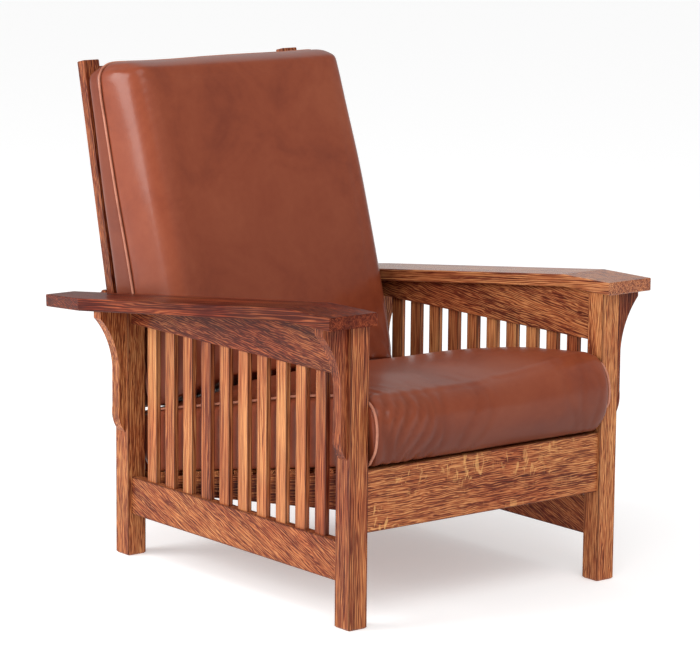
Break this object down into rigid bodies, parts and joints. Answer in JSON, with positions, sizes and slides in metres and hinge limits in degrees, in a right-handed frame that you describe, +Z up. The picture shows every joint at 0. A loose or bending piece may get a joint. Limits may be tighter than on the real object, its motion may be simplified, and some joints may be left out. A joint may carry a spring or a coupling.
{
  "type": "reclining armchair",
  "caption": "Low oak easy chair with slatted sides, bent sloping arms on corbels, a hinged ladder back propped on pegs, and loose leather seat and back cushions.",
  "frame": {"origin": "on the floor, under the middle of the overall width and depth", "axes": "+X to the sitter's left, which is the right of the chair seen from the front, +Y to the rear, +Z up; the chair faces -Y"},
  "size_m": [0.8182, 1.0467, 1.0132],
  "materials": {
    "oak": "satin",
    "leather": "satin",
    "steel": "satin"
  },
  "bodies": {
    "frame": {"arm_apron_left": "oak", "arm_apron_right": "oak", "arm_left": "oak", "arm_right": "oak", "cleat_screws": "steel", "front_corbel_left": "oak", "front_corbel_right": "oak", "front_leg_left": "oak", "front_leg_right": "oak", "front_rail": "oak", "pivot_bolt_left": "steel", "pivot_bolt_right": "steel", "pivot_nuts": "steel", "pivot_washers": "steel", "rear_corbel_left": "oak", "rear_corbel_right": "oak", "rear_leg_left": "oak", "rear_leg_right": "oak", "rear_rail": "oak", "seat_cleat_left": "oak", "seat_cleat_right": "oak", "seat_frame_front": "oak", "seat_frame_left": "oak", "seat_frame_rear": "oak", "seat_frame_right": "oak", "seat_slats": "oak", "side_rail_left": "oak", "side_rail_right": "oak", "side_slat_left_01": "oak", "side_slat_left_02": "oak", "side_slat_left_03": "oak", "side_slat_left_04": "oak", "side_slat_left_05": "oak", "side_slat_left_06": "oak", "side_slat_left_07": "oak", "side_slat_left_08": "oak", "side_slat_left_09": "oak", "side_slat_left_10": "oak", "side_slat_right_01": "oak", "side_slat_right_02": "oak", "side_slat_right_03": "oak", "side_slat_right_04": "oak", "side_slat_right_05": "oak", "side_slat_right_06": "oak", "side_slat_right_07": "oak", "side_slat_right_08": "oak", "side_slat_right_09": "oak", "side_slat_right_10": "oak"},
    "back": {"back_bottom_rail": "oak", "back_crest_rail": "oak", "back_cushion": "leather", "back_post_left": "oak", "back_post_right": "oak", "back_slat_1": "oak", "back_slat_2": "oak", "back_slat_3": "oak", "back_slat_4": "oak"},
    "seat_cushion": {"seat_cushion": "leather"},
    "support_peg_left": {"support_peg_left": "oak"},
    "support_peg_right": {"support_peg_right": "oak"}
  },
  "joints": [
    {"name": "back_recline", "type": "hinge", "parent": "frame", "child": "back", "pos_m": [0, 0.3174, 0.135], "axis": [-1, 0, 0], "range_deg": [0, 10]},
    {"name": "seat_cushion_slide", "type": "slide", "parent": "frame", "child": "seat_cushion", "axis": [0, -0.982, 0.1891], "range_m": [0, 0.3]},
    {"name": "left_peg_pull", "type": "slide", "parent": "frame", "child": "support_peg_left", "axis": [1, 0, 0], "range_m": [0, 0.04]},
    {"name": "right_peg_pull", "type": "slide", "parent": "frame", "child": "support_peg_right", "axis": [-1, 0, 0], "range_m": [0, 0.04]}
  ]
}
